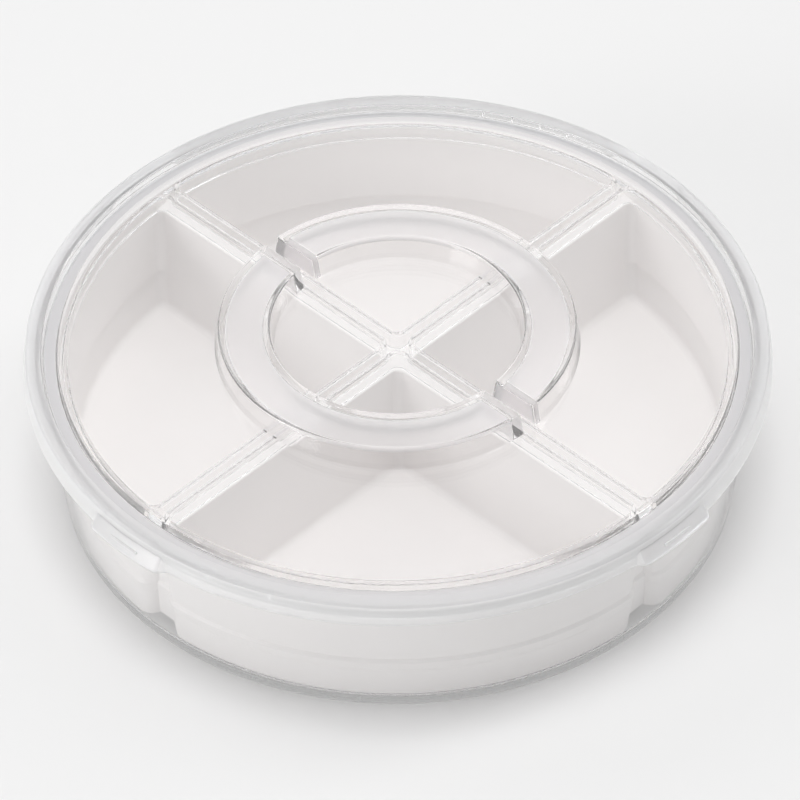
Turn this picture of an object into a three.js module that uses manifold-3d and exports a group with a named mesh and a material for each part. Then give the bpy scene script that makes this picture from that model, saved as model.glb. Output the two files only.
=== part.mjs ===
// Compartment food container: a clear round bowl, a white tray with four pockets that
// hangs in it, and a clear lid with a raised ring in two halves.
// Millimetres, +Z up. The origin is the centre of the bowl's underside.
import * as THREE from 'three';
import { mergeVertices } from 'three/addons/utils/BufferGeometryUtils.js';
import Module from 'manifold-3d';

const wasm = await Module();
wasm.setup();

// Overall sizes
const lidRadius = 95.8;          // lower edge of the lid's skirt, the widest round
const bodyHeight = 43;           // table to the top of the lid's rim
const footRadius = 87.4;         // outside of the bowl where it meets the table

// Fits between the pieces
const seatGap = 0.3;             // between faces that rest on each other
const snapClearance = 0.5;       // lid bead to bowl lip
const flangeClearance = 0.3;     // tray flange to the bowl's rim
const wallClearance = 0.8;       // tray wall to bowl wall
const plugClearance = 0.5;       // lid's plug walls to the tray
const cutOverrun = 1;            // how far a cutting solid runs past what it cuts

// Lid: skirt, rim band, channel and panel
const lidWall = 1.6;
const skirtWall = 1.3;
const skirtHeight = 5.8;
const skirtFlare = 0.8;          // the skirt is this much wider at its lower edge
const rimRound = 0.7;            // bevel on the lid's top outer edge
const bandWidth = 4.1;           // flat band from the outer edge to the channel
const channelWidth = 3.6;
const channelDepth = 2.2;
const channelSlope = 0.7;        // horizontal run of each channel wall
const panelDrop = 0.6;           // panel below the rim band
const beadDepth = 0.4;           // snap bead inside the skirt
const beadHeight = 1.2;
const beadLift = 0.5;            // bead above the skirt's lower edge

// Lid: small radial stiffeners under the rim band, in two opposite groups
const stiffenerCount = 4;        // in each group
const stiffenerStep = 5;         // degrees from one to the next
const stiffenerDirection = 67.5; // degrees, the middle of one group
const stiffenerWidth = 0.8;
const stiffenerDepth = 1.4;

// Lid: plug walls, one closed loop above each pocket
const plugWall = 1.2;
const plugCorner = 3.4;
const plugOffset = 1;            // plug wall from the divider's centre line
const plugRootShare = 0.75;      // how far the lid's underside corner lies into the plug wall

// Lid: raised ring in two halves, hollow from below
const ringInnerRadius = 31.4;
const ringOuterRadius = 46.7;
const ringHeight = 6;
const ringDraft = 1.1;           // each side leans in by this much over its height
const ringWall = 2;
const ringRoof = 1.7;
const ringGap = 4.2;             // space between the two halves
const ringEndWall = 2.4;

// Lid: four lifting tabs
const tabReach = 2.5;            // beyond the skirt's lower edge
const tabHalfAngle = 8.6;        // degrees from the tab's middle to where it dies out
const tabBlendAngle = 2.6;       // degrees that each S-curved end takes
const tabTopDrop = 0.9;          // top of the tab below the rim
const tabSink = 0.5;             // how deep the tab is rooted in the skirt
const gripLength = 9.5;
const gripWidth = 0.8;
const gripShare = 0.46;          // height of the grip bead on the tab's slope

// Bowl
const bowlWall = 1.8;
const bowlFloor = 1.8;
const bowlLipWidth = 1.2;
const bowlLipHeight = 1.5;
const bowlEdgeRound = 1.2;
const bowlSeatWidth = 1.5;

// Tray
const trayWall = 1.3;
const trayFlange = 1.5;
const rimSetback = 0.2;          // rim's inner face outside the pockets' outer walls
const flangeDrop = 0.3;          // flange top below the bowl's rim
const dividerDrop = 3.4;         // divider tops below the tray's rim
const dividerWidth = 4.4;
const dividerDraft = 4;          // degrees
const trayFloorGap = 0.8;        // tray underside above the bowl's floor
const pocketCorner = 2.6;
const pocketFloorRound = 1.6;
const trayFootBevel = 0.6;       // outer lower edge of each pocket
const ledgeHeight = 12.4;        // bevel round the wall, above the tray's underside
const ledgeDepth = 0.5;
const ledgeRise = 1.3;

const roundSegments = 72;
const degree = Math.PI / 180;
const quarterTurns = [0, 1, 2, 3].map((turn) => turn * 90 * degree);

// Lid levels and radii, from the outside in
const skirtBottom = bodyHeight - skirtHeight;
const skirtTopRadius = lidRadius - skirtFlare;
const channelOuterRadius = skirtTopRadius - bandWidth;
const channelInnerRadius = channelOuterRadius - channelWidth;
const panelRadius = channelInnerRadius - channelSlope;
const panelTop = bodyHeight - panelDrop;
const panelUnderside = panelTop - lidWall;
const channelFloor = bodyHeight - channelDepth;
const channelUnderside = channelFloor - lidWall;
const bandUnderside = bodyHeight - lidWall;
const skirtInnerTop = skirtTopRadius - skirtWall;
const skirtInnerBottom = lidRadius - skirtWall;

// Bowl levels and radii, from the lid that closes on it
const bowlRim = channelUnderside - seatGap;
const bowlLipRadius = skirtInnerBottom - beadDepth - snapClearance;
const bowlRimRadius = bowlLipRadius - bowlLipWidth;
const bowlRimInner = bowlRimRadius - bowlWall;
const bowlSeatInner = bowlRimInner - bowlSeatWidth;

// Tray levels and radii, from the bowl that carries it
const trayTop = bowlRim - flangeDrop;
const flangeUnderside = trayTop - trayFlange;
const bowlSeat = flangeUnderside - seatGap;
const flangeRadius = bowlRimInner - flangeClearance;
const trayUnderside = bowlFloor + trayFloorGap;
const dividerTop = trayTop - dividerDrop;
const dividerUnderside = dividerTop - trayWall;

// Plug walls, from the tray that they close
const plugBottom = dividerTop + plugClearance;

// Inside of the bowl's wall at a height below the seat
const bowlInnerAt = (z) => {
  const lean = (bowlSeatInner - footRadius + bowlWall) / bowlSeat;
  return footRadius - bowlWall + lean * z;
};

// Outside of the tray's wall, set in above the ledge
const trayOuterAt = (z) => {
  const above = z - trayUnderside - ledgeHeight;
  const step = ledgeDepth * THREE.MathUtils.clamp(above / ledgeRise, 0, 1);
  return bowlInnerAt(z) - wallClearance - step;
};

const plugRadius = trayOuterAt(dividerTop) - trayWall - plugClearance;

// Distance from a divider's centre line to its face at a height
const dividerFaceAt = (z) => dividerWidth / 2 + (dividerTop - z) * Math.tan(dividerDraft * degree);

function solid(geometry) {
  geometry.deleteAttribute('normal');
  geometry.deleteAttribute('uv');
  const merged = mergeVertices(geometry);
  return new wasm.Manifold(new wasm.Mesh({
    numProp: 3,
    vertProperties: new Float32Array(merged.attributes.position.array),
    triVerts: new Uint32Array(merged.index.array),
  }));
}

function piece(name, body, material) {
  const { vertProperties, triVerts } = body.getMesh();
  const geometry = new THREE.BufferGeometry();
  geometry.setAttribute('position', new THREE.BufferAttribute(vertProperties, 3));
  geometry.setIndex(new THREE.BufferAttribute(triVerts, 1));
  geometry.computeVertexNormals();
  const mesh = new THREE.Mesh(geometry, material);
  mesh.name = name;
  return mesh;
}

// A solid of revolution about Z from [radius, height] points that run up the outside
function revolve(points, segments = roundSegments) {
  const profile = points.map(([radius, height]) => new THREE.Vector2(radius, height));
  profile.push(profile[0]);
  const halfStep = Math.PI / segments;
  return solid(new THREE.LatheGeometry(profile, segments, halfStep).rotateX(90 * degree));
}

// A closed skin over rings of points, each ring as long as the next, capped at both ends.
// Rings turn counter-clockwise seen from the last ring's side.
function loft(rings) {
  const size = rings[0].length;
  const positions = rings.flat().flatMap((point) => [point.x, point.y, point.z]);
  const faces = [];
  for (let ring = 0; ring + 1 < rings.length; ring += 1) {
    for (let side = 0; side < size; side += 1) {
      const a = ring * size + side;
      const b = ring * size + (side + 1) % size;
      faces.push(a, b, b + size, a, b + size, a + size);
    }
  }
  const last = (rings.length - 1) * size;
  for (let side = 1; side + 1 < size; side += 1) {
    faces.push(0, side + 1, side, last, last + side, last + side + 1);
  }
  const geometry = new THREE.BufferGeometry();
  geometry.setAttribute('position', new THREE.Float32BufferAttribute(positions, 3));
  geometry.setIndex(faces);
  return solid(geometry);
}

function box(sizeX, sizeY, sizeZ, centre, turn = 0) {
  const geometry = new THREE.BoxGeometry(sizeX, sizeY, sizeZ);
  return solid(geometry.translate(centre.x, centre.y, centre.z).rotateZ(turn));
}

function turned(body, angle) {
  return body.rotate([0, 0, angle / degree]);
}

// Points along an arc about a centre, both ends included
function arcPoints(centreX, centreY, radius, from, to, steps) {
  return Array.from({ length: steps + 1 }, (_, step) => {
    const angle = from + (to - from) * step / steps;
    return [centreX + radius * Math.cos(angle), centreY + radius * Math.sin(angle)];
  });
}

// Outline of a quarter pocket that opens towards +X: two straight sides at a distance from
// the 45 degree lines, an outer arc, and three rounded corners
function quarterOutline(sideDistance, radius, corner) {
  const cornerSteps = 3;
  const outerSteps = 13;
  const side = 45 * degree - Math.asin((sideDistance + corner) / (radius - corner));
  const cornerX = (radius - corner) * Math.cos(side);
  const cornerY = (radius - corner) * Math.sin(side);
  const innerX = (sideDistance + corner) * Math.SQRT2;
  return [
    ...arcPoints(cornerX, -cornerY, corner, -135 * degree, -side, cornerSteps),
    ...arcPoints(0, 0, radius, -side, side, outerSteps).slice(1, -1),
    ...arcPoints(cornerX, cornerY, corner, side, 135 * degree, cornerSteps),
    ...arcPoints(innerX, 0, corner, 135 * degree, 225 * degree, cornerSteps),
  ];
}

// A drafted pocket body: the outline drawn in round its floor in steps, then carried up
// through levels of [height, how far it is drawn in there]
function pocketBody(floor, floorRound, roundSteps, inset, levels) {
  const ring = (z, drawnIn) => {
    const sideDistance = dividerFaceAt(z) - trayWall + inset + drawnIn;
    const radius = trayOuterAt(z) - inset - drawnIn;
    const corner = pocketCorner + trayWall - inset - drawnIn;
    return quarterOutline(sideDistance, radius, corner)
      .map(([x, y]) => new THREE.Vector3(x, y, z));
  };
  const rings = [];
  for (let step = 0; step <= roundSteps; step += 1) {
    const angle = 90 * degree * step / roundSteps;
    rings.push(ring(floor + floorRound * (1 - Math.cos(angle)), floorRound * (1 - Math.sin(angle))));
  }
  for (const [z, drawnIn] of levels) rings.push(ring(z, drawnIn));
  return loft(rings);
}

function bowl() {
  const outerLean = (bowlSeatInner + bowlWall - footRadius) / bowlSeat;
  const shoulder = bowlSeat - bowlWall;
  const edgeCentre = footRadius - bowlEdgeRound;
  return revolve([
    [0, 0],
    ...arcPoints(edgeCentre, bowlEdgeRound, bowlEdgeRound, -90 * degree, 0, 3),
    [footRadius + outerLean * shoulder, shoulder],
    [bowlRimRadius, shoulder + (bowlRimRadius - footRadius - outerLean * shoulder)],
    [bowlRimRadius, bowlRim - bowlLipHeight],
    [bowlLipRadius, bowlRim - bowlLipHeight + bowlLipWidth / 2],
    [bowlLipRadius, bowlRim],
    [bowlRimInner, bowlRim],
    [bowlRimInner, bowlSeat],
    [bowlSeatInner, bowlSeat],
    [bowlInnerAt(bowlFloor + bowlEdgeRound), bowlFloor + bowlEdgeRound],
    [bowlInnerAt(bowlFloor) - bowlEdgeRound, bowlFloor],
    [0, bowlFloor],
  ]);
}

function tray() {
  const ledgeBottom = trayUnderside + ledgeHeight;
  const ledgeLevels = [[ledgeBottom, 0], [ledgeBottom + ledgeRise, 0]];
  const rimInnerAt = (z) => trayOuterAt(z) - trayWall + rimSetback;
  const rimWall = revolve([
    [0, dividerUnderside],
    [trayOuterAt(dividerUnderside), dividerUnderside],
    [trayOuterAt(flangeUnderside), flangeUnderside],
    [flangeRadius, flangeUnderside],
    [flangeRadius, trayTop],
    [rimInnerAt(trayTop), trayTop],
    [rimInnerAt(dividerTop), dividerTop],
    [0, dividerTop],
  ]);
  let body = rimWall;
  const outer = pocketBody(trayUnderside, trayFootBevel, 1, 0, [
    ...ledgeLevels, [dividerUnderside, 0], [dividerUnderside + trayWall / 2, trayWall / 2],
  ]);
  const inner = pocketBody(trayUnderside + trayWall, pocketFloorRound, 2, trayWall, [
    ...ledgeLevels, [dividerTop + cutOverrun, 0],
  ]);
  for (const turn of quarterTurns) body = body.add(turned(outer, turn));
  for (const turn of quarterTurns) body = body.subtract(turned(inner, turn));
  return body;
}

function lidShell() {
  const skirtInnerAt = (z) => {
    const upShare = (z - skirtBottom) / (bandUnderside - skirtBottom);
    return skirtInnerBottom + (skirtInnerTop - skirtInnerBottom) * upShare;
  };
  const beadBottom = skirtBottom + beadLift;
  const beadMiddle = beadBottom + beadHeight / 2;
  const beadTop = beadBottom + beadHeight;
  return revolve([
    [0, panelUnderside],
    [plugRadius - plugWall * plugRootShare, panelUnderside],
    [plugRadius - plugWall * plugRootShare, channelUnderside],
    [channelOuterRadius + lidWall / 2, channelUnderside],
    [channelOuterRadius + lidWall, bandUnderside],
    [skirtInnerTop, bandUnderside],
    [skirtInnerAt(beadTop), beadTop],
    [skirtInnerAt(beadMiddle) - beadDepth, beadMiddle],
    [skirtInnerAt(beadBottom), beadBottom],
    [skirtInnerBottom, skirtBottom],
    [lidRadius, skirtBottom],
    [skirtTopRadius, bodyHeight - rimRound],
    [skirtTopRadius - rimRound, bodyHeight],
    [channelOuterRadius, bodyHeight],
    [channelOuterRadius - channelSlope, channelFloor],
    [channelInnerRadius, channelFloor],
    [panelRadius, panelTop],
    [0, panelTop],
  ]);
}

// One plug wall: a closed loop that hangs over a pocket's mouth, clear of its walls
function plugLoop() {
  const top = panelTop - lidWall / 2;
  const rings = (inset, from, to) => [from, to].map((z) => (
    quarterOutline(plugOffset + inset, plugRadius - inset, plugCorner - inset)
      .map(([x, y]) => new THREE.Vector3(x, y, z))
  ));
  const outer = loft(rings(0, plugBottom, top));
  return outer.subtract(loft(rings(plugWall, plugBottom - cutOverrun, top + cutOverrun)));
}

// Both halves of the raised ring as full rings cut by a slab along one divider
function ringSlab(width) {
  const reach = 2 * (ringOuterRadius + cutOverrun);
  const height = 2 * (ringHeight + lidWall + cutOverrun);
  return box(reach, width, height, new THREE.Vector3(0, 0, panelTop), -45 * degree);
}

function ringBody() {
  const root = panelTop - lidWall / 2;
  const top = panelTop + ringHeight;
  const ring = revolve([
    [ringInnerRadius, root],
    [ringOuterRadius, root],
    [ringOuterRadius, panelTop],
    [ringOuterRadius - ringDraft, top],
    [ringInnerRadius + ringDraft, top],
    [ringInnerRadius, panelTop],
  ]);
  return ring.subtract(ringSlab(ringGap));
}

function ringHollow() {
  const mouth = panelUnderside - cutOverrun;
  const roof = panelTop + ringHeight - ringRoof;
  const hollow = revolve([
    [ringInnerRadius + ringWall, mouth],
    [ringOuterRadius - ringWall, mouth],
    [ringOuterRadius - ringWall, panelTop],
    [ringOuterRadius - ringWall - ringDraft, roof],
    [ringInnerRadius + ringWall + ringDraft, roof],
    [ringInnerRadius + ringWall, panelTop],
  ]);
  return hollow.subtract(ringSlab(ringGap + 2 * ringEndWall));
}

// A lifting tab that swells out of the skirt towards +X, with an S-curve at each end
function tab() {
  const steps = 16;
  const top = bodyHeight - tabTopDrop;
  const rings = [];
  for (let step = 0; step <= steps; step += 1) {
    const angle = tabHalfAngle * (2 * step / steps - 1);
    const fade = THREE.MathUtils.smootherstep(tabHalfAngle - Math.abs(angle), 0, tabBlendAngle);
    const outward = (radius, z) => (
      new THREE.Vector3(radius * Math.cos(angle * degree), radius * Math.sin(angle * degree), z)
    );
    const skirtAt = (z) => lidRadius - skirtFlare * (z - skirtBottom) / (top - skirtBottom);
    const reach = (tabReach + tabSink) * fade;
    rings.push([
      outward(skirtAt(top) - skirtWall + tabSink / 2, top - tabSink),
      outward(skirtAt(top) - tabSink, top),
      outward(skirtAt(skirtBottom) - tabSink + reach, skirtBottom),
      outward(skirtAt(skirtBottom) - skirtWall + tabSink / 2, skirtBottom),
    ]);
  }
  return loft(rings).add(gripBead());
}

// The short bead across a tab's slope
function gripBead() {
  const slopeRun = tabReach + skirtFlare;
  const slopeRise = skirtHeight - tabTopDrop;
  const radius = lidRadius + tabReach - slopeRun * gripShare;
  const bar = new THREE.CylinderGeometry(gripWidth / 2, gripWidth / 2, gripLength, 8);
  return solid(bar.translate(radius, 0, skirtBottom + slopeRise * gripShare));
}

function stiffeners() {
  const inner = channelOuterRadius + lidWall / 2;
  const outer = skirtInnerTop + skirtWall / 2;
  const bottom = bandUnderside - stiffenerDepth;
  const top = bandUnderside + lidWall / 2;
  const centre = new THREE.Vector3((inner + outer) / 2, 0, (bottom + top) / 2);
  const bars = [];
  for (let index = 0; index < stiffenerCount; index += 1) {
    const offset = stiffenerStep * (index - (stiffenerCount - 1) / 2);
    for (const side of [0, 180]) {
      const angle = (stiffenerDirection + offset + side) * degree;
      bars.push(box(outer - inner, stiffenerWidth, top - bottom, centre, angle));
    }
  }
  return wasm.Manifold.union(bars);
}

function lid() {
  let body = lidShell().add(ringBody()).subtract(ringHollow());
  const loop = plugLoop();
  const lift = tab();
  for (const turn of quarterTurns) {
    body = body.add(turned(loop, turn)).add(turned(lift, turn + 45 * degree));
  }
  return body.add(stiffeners());
}

const clearPlastic = new THREE.MeshStandardMaterial({
  color: 0xe4e8ec, roughness: 0.12, metalness: 0, transparent: true, opacity: 0.35,
});
const whitePlastic = new THREE.MeshStandardMaterial({ color: 0xe9e6e2, roughness: 0.4, metalness: 0 });

const container = new THREE.Group();
container.add(
  piece('outer_bowl', bowl(), clearPlastic.clone()),
  piece('compartment_tray', tray(), whitePlastic),
  piece('lid', lid(), clearPlastic),
);

export default container;
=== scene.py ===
import math
import bmesh
import bpy
from mathutils import Matrix, Vector


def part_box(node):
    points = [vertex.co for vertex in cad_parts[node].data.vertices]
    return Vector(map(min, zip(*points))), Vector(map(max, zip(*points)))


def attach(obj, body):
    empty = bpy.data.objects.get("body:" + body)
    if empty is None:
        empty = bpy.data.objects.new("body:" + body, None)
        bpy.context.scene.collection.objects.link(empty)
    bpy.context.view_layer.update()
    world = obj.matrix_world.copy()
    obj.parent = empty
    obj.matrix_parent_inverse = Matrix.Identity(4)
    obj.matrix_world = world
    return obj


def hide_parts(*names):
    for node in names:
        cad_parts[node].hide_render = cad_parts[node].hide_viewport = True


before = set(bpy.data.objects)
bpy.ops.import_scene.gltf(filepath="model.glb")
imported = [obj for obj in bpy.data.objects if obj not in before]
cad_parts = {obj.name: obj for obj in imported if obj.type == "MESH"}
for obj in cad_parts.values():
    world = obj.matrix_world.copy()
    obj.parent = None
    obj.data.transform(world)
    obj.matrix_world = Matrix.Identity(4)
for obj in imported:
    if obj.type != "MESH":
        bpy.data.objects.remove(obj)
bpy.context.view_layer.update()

bl_info = {
    "name": "Compartment Food Container",
    "version": (1, 0, 0),
    "blender": (4, 5, 0),
    "location": "3D View > Sidebar > Container",
    "description": "Clear bowl, divided white tray and clear lid with a raised ring",
    "category": "Add Mesh",
}

MM = 0.001
QUARTERS = [math.radians(90 * turn) for turn in range(4)]
DIAGONAL = math.radians(45)

# The frame's round nodes have this many flats, with a flat on each axis
FRAME_FLATS = 72

# Steps of the meshes
ROUND_SIDES = 384
EDGE_STEPS = 6
CORNER_STEPS = 8
POCKET_OUTER_STEPS = 80
POCKET_FLOOR_STEPS = 8
POCKET_TOP_STEPS = 5
PLUG_EDGE_STEPS = 4
RING_LONG_STEPS = 96
RING_END_STEPS = 4
TAB_STEPS = 40
GRIP_SIDES = 16
GRIP_END_STEPS = 5

# A round takes less than half of the shorter edge beside it
ROUND_SHARE = 0.49
# Faces that meet at less than this angle are shaded as one
SHARP_ANGLE = math.radians(28)
# A normal with more than this upright or outward share counts as facing that way
FACING = 0.5

# Roughness where the moulding is best and least polished, and share of light that passes
CLEAR = {"polish": (0.03, 0.07), "clarity": 0.94}
SATIN_BAND = {"polish": (0.26, 0.34), "clarity": 0.75}
SATIN_SKIRT = {"polish": (0.27, 0.35), "clarity": 0.6}
FROSTED = {"Roughness": 0.45, "Transmission Weight": 0.75}
POLYSTYRENE_IOR = 1.5
POLYPROPYLENE_IOR = 1.49

# Place of each material in the lid's slots; the clear plastic is the first
LID_FROSTED, LID_BAND, LID_SKIRT, LID_SHADED_CHANNEL = 1, 2, 3, 4

# Places of the softboxes and their sizes, in metres; all face the origin
SOFTBOXES = {
    "key": ((0.95, 0.5, 1.1), (0.35, 1.3)),
    "top": ((0, 0, 1.5), (0.6, 0.6)),
    "side": ((-1.3, -0.75, 0.5), (0.7, 0.5)),
    "back": ((-0.85, 0.8, 0.95), (0.7, 0.7)),
}
TABLE_REACH = 6
SENSOR_WIDTH = 36
# A ray crosses many clear faces between the lid and the table
LIGHT_BOUNCES = 24


def frame_radius(node):
    """Radius of a round frame node, measured to the corners of its flats."""
    low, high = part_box(node)
    return (high.x - low.x) / 2 / math.cos(math.pi / FRAME_FLATS)


LID_RADIUS = frame_radius("lid")
BOWL_LIP_RADIUS = frame_radius("outer_bowl")
TRAY_FLANGE_RADIUS = frame_radius("compartment_tray")
LID_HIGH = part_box("lid")[1].z
BOWL_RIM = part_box("outer_bowl")[1].z
TRAY_LOW, TRAY_TOP = (corner.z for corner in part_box("compartment_tray"))


def length(name, description, millimetres):
    """A length property, given in millimetres and kept in metres."""
    return bpy.props.FloatProperty(
        name=name, description=description, default=millimetres * MM, unit="LENGTH", precision=5
    )


def angle(name, description, degrees):
    """An angle property, given in degrees."""
    return bpy.props.FloatProperty(
        name=name, description=description, default=math.radians(degrees), subtype="ANGLE"
    )


def colour(name, description, hex_colour):
    """A colour property, given as sRGB hex and kept linear."""
    return bpy.props.FloatVectorProperty(
        name=name, description=description, default=linear(hex_colour)[:3],
        subtype="COLOR", size=3,
    )


def linear(hex_colour):
    """Linear RGBA of an sRGB hex colour, by the sRGB standard's curve."""
    channels = [int(hex_colour[place:place + 2], 16) / 255 for place in (0, 2, 4)]
    dark_end, dark_slope, offset, power = 0.04045, 12.92, 0.055, 2.4
    return tuple(
        c / dark_slope if c <= dark_end else ((c + offset) / (1 + offset)) ** power
        for c in channels
    ) + (1.0,)


class BowlSizes(bpy.types.PropertyGroup):
    """Sizes of the clear outer bowl"""

    foot_radius: length("Foot radius", "Outside of the wall at the table", 87.4)
    wall: length("Wall", "Wall thickness", 1.8)
    floor: length("Floor", "Floor thickness", 1.8)
    lip_width: length("Lip width", "How far the snap lip stands out of the wall", 1.2)
    lip_height: length("Lip height", "Height of the snap lip", 1.5)
    seat_width: length("Seat width", "Seat that carries the tray's flange", 1.5)
    seat_depth: length("Seat depth", "Seat below the bowl's rim", 2.1)
    foot_round: length("Foot round", "Outer edge of the base", 1.2)
    floor_round: length("Floor round", "Inner corner between floor and wall", 2.4)
    edge_round: length("Edge round", "Small edges at the rim", 0.35)


class TraySizes(bpy.types.PropertyGroup):
    """Sizes of the white tray"""

    wall: length("Wall", "Wall thickness", 1.3)
    wall_gap: length("Wall gap", "Tray wall to bowl wall", 0.8)
    flange: length("Flange", "Thickness of the rim flange", 1.5)
    rim_setback: length("Rim setback", "Rim's inner face outside the pockets' outer walls", 0.2)
    divider_drop: length("Divider drop", "Divider tops below the rim", 3.4)
    divider_width: length("Divider width", "Width of the dividers' flat tops", 4.4)
    divider_draft: angle("Divider draft", "Lean of the pocket sides", 4)
    corner: length("Corner", "Radius of the pockets' upright corners", 2.6)
    floor_round: length("Floor round", "Round between pocket wall and floor", 1.6)
    foot_round: length("Foot round", "Outer lower edge of each pocket", 0.6)
    edge_round: length("Edge round", "Round along the dividers' top edges", 0.5)
    ledge_height: length("Ledge height", "Bevel round the outer wall above the underside", 12.4)
    ledge_depth: length("Ledge depth", "How far the wall is set in above the ledge", 0.8)
    ledge_rise: length("Ledge rise", "Height of the bevel", 0.8)
    valley_lift: length("Valley lift", "Lower edge of the wall between the tubs", 0.8)
    valley_depth: length("Valley depth", "Wall between the tubs behind their outside", 3)
    line_drop: length("Line drop", "Fine line below the bevel", 2.9)
    line_width: length("Line width", "Half the width of the fine line", 0.5)
    line_depth: length("Line depth", "Depth of the fine line", 0.2)


class LidSizes(bpy.types.PropertyGroup):
    """Sizes of the clear lid"""

    wall: length("Wall", "Wall thickness", 1.6)
    skirt_wall: length("Skirt wall", "Thickness of the skirt", 1.3)
    skirt_height: length("Skirt height", "Rim down to the skirt's lower edge", 5.8)
    skirt_flare: length("Skirt flare", "How much wider the skirt is below", 0.8)
    rim_round: length("Rim round", "Outer top edge", 1.0)
    edge_round: length("Edge round", "Small edges", 0.35)
    band_width: length("Band width", "Flat band from the outer edge to the channel", 4.1)
    channel_width: length("Channel width", "Floor of the channel inside the band", 3.6)
    channel_depth: length("Channel depth", "Channel below the band", 2.2)
    channel_slope: length("Channel slope", "Run of each channel wall", 0.7)
    panel_drop: length("Panel drop", "Panel below the band", 0.6)
    bead_depth: length("Bead depth", "Snap bead inside the skirt", 0.4)
    bead_height: length("Bead height", "Height of the snap bead", 1.2)
    bead_lift: length("Bead lift", "Bead above the skirt's lower edge", 0.5)
    plug_wall: length("Plug wall", "Wall that hangs over each pocket's mouth", 1.2)
    plug_corner: length("Plug corner", "Corner radius of the plug walls", 3.4)
    plug_offset: length("Plug offset", "Plug wall from the divider's centre line", 1)
    plug_clearance: length("Plug clearance", "Plug walls to the tray", 0.5)
    plug_overlap: length("Plug overlap", "Underside's corner inside the plug wall", 0.9)
    rib_width: length("Stiffener width", "Small radial stiffeners under the band", 0.4)
    rib_depth: length("Stiffener depth", "Stiffeners below the band's underside", 1.2)
    rib_count: bpy.props.IntProperty(
        name="Stiffener places", description="Places for stiffeners round the rim",
        default=72, min=3,
    )
    rib_direction: angle("Stiffener direction", "Middle of one of the two groups", -112.5)
    rib_spread: angle("Stiffener spread", "Half the angle that a group takes", 9)


class RingSizes(bpy.types.PropertyGroup):
    """Sizes of the lid's raised ring"""

    inner_radius: length("Inner radius", "Foot of the inner side", 31.4)
    outer_radius: length("Outer radius", "Foot of the outer side", 46.7)
    height: length("Height", "Above the lid's panel", 6)
    draft: length("Draft", "How far each side leans in", 1.1)
    wall: length("Wall", "Side walls of the hollow", 2)
    roof: length("Roof", "Roof over the hollow", 1.7)
    end_wall: length("End wall", "Walls at the two gaps", 2.4)
    gap: length("Gap", "Space between the two halves", 4.2)
    edge_round: length("Edge round", "Outer edges of the ring", 0.7)
    end_round: length("End round", "Edges of the end faces", 0.6)
    hollow_round: length("Hollow round", "Corners of the hollow", 0.5)


class TabSizes(bpy.types.PropertyGroup):
    """Sizes of the lid's four lifting tabs"""

    reach: length("Reach", "Beyond the skirt's lower edge", 2.5)
    half_angle: angle("Half angle", "From the tab's middle to where it dies out", 8.6)
    blend_angle: angle("Blend angle", "Length of each S-curved end", 2.6)
    top_drop: length("Top drop", "Top of the tab below the rim", 0.9)
    edge_round: length("Edge round", "Lower outer edge", 0.5)
    sink: length("Sink", "How deep the tab is rooted in the skirt", 0.5)
    grip_length: length("Grip length", "Short bead across the slope", 9.5)
    grip_width: length("Grip width", "Width of the bead", 0.8)
    grip_share: bpy.props.FloatProperty(
        name="Grip height", description="Where the bead lies on the tab's slope", default=0.46
    )


class Finishes(bpy.types.PropertyGroup):
    """Colours of the three mouldings and the table; the channel's tint adds painted shade"""

    clear_tint: colour("Clear plastic", "Colour seen through one face of clear plastic", "FEFEFE")
    band_tint: colour("Satin band", "Top of the rim", "E9E9EA")
    # Darker than the band's tint: painted shade in the rim's recessed channel
    channel_shade_tint: colour("Channel shade tint", "Channel inside the rim", "DCDCDE")
    skirt_tint: colour("Satin skirt", "Skirt and tabs", "FCFCFC")
    frost: colour("Frosted plastic", "Matt inside of the raised ring", "FAF8F9")
    tray: colour("Tray", "White tray", "F3F0EF")
    table: colour("Table", "Floor under the container", "EBEBEB")
    wall: colour("Studio wall", "What clear and glossy surfaces mirror", "F6F6F6")


class StageSettings(bpy.types.PropertyGroup):
    """Camera and light"""

    elevation: angle("Elevation", "Camera above the table", 44.09)
    roll: angle("Roll", "Camera roll", -0.92)
    distance: length("Distance", "Camera to the point it aims at", 1460)
    aim_side: length("Aim sideways", "Aim right of the container's centre", 0.4)
    aim_height: length("Aim height", "Aim above the table", 21.3)
    lens: bpy.props.FloatProperty(
        name="Lens", description="Focal length for a 36 mm sensor", default=255, unit="CAMERA"
    )
    even_light: bpy.props.FloatProperty(
        name="Even light", description="Light from all round", default=0.5, min=0
    )
    key_power: bpy.props.FloatProperty(
        name="Key", description="Tall softbox behind on the right",
        default=3.9, min=0, unit="POWER",
    )
    top_power: bpy.props.FloatProperty(
        name="Top", description="Softbox overhead", default=8.5, min=0, unit="POWER"
    )
    side_power: bpy.props.FloatProperty(
        name="Side", description="Low softbox at the front left",
        default=6.0, min=0, unit="POWER",
    )
    back_power: bpy.props.FloatProperty(
        name="Back", description="Softbox behind on the left",
        default=1.8, min=0, unit="POWER",
    )


GROUPS = {
    "container_bowl": BowlSizes,
    "container_tray": TraySizes,
    "container_lid": LidSizes,
    "container_ring": RingSizes,
    "container_tab": TabSizes,
    "container_finish": Finishes,
    "container_stage": StageSettings,
}


# Meshes


def rounded(corners):
    """Outline through corners given as (radius, height, round). Rounds become arcs."""
    points = []
    for index, (radius, height, round_off) in enumerate(corners):
        here = Vector((radius, height))
        if not round_off:
            points.append(here)
            continue
        back = Vector(corners[index - 1][:2]) - here
        ahead = Vector(corners[(index + 1) % len(corners)][:2]) - here
        half = back.angle(ahead) / 2
        setback = min(
            round_off / math.tan(half), ROUND_SHARE * back.length, ROUND_SHARE * ahead.length
        )
        centre = here + (back.normalized() + ahead.normalized()).normalized() * (
            setback / math.cos(half)
        )
        start = here + back.normalized() * setback - centre
        end = here + ahead.normalized() * setback - centre
        reach = start.length
        for step in range(EDGE_STEPS + 1):
            points.append(centre + start.slerp(end, step / EDGE_STEPS) * reach)
    return points


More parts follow.
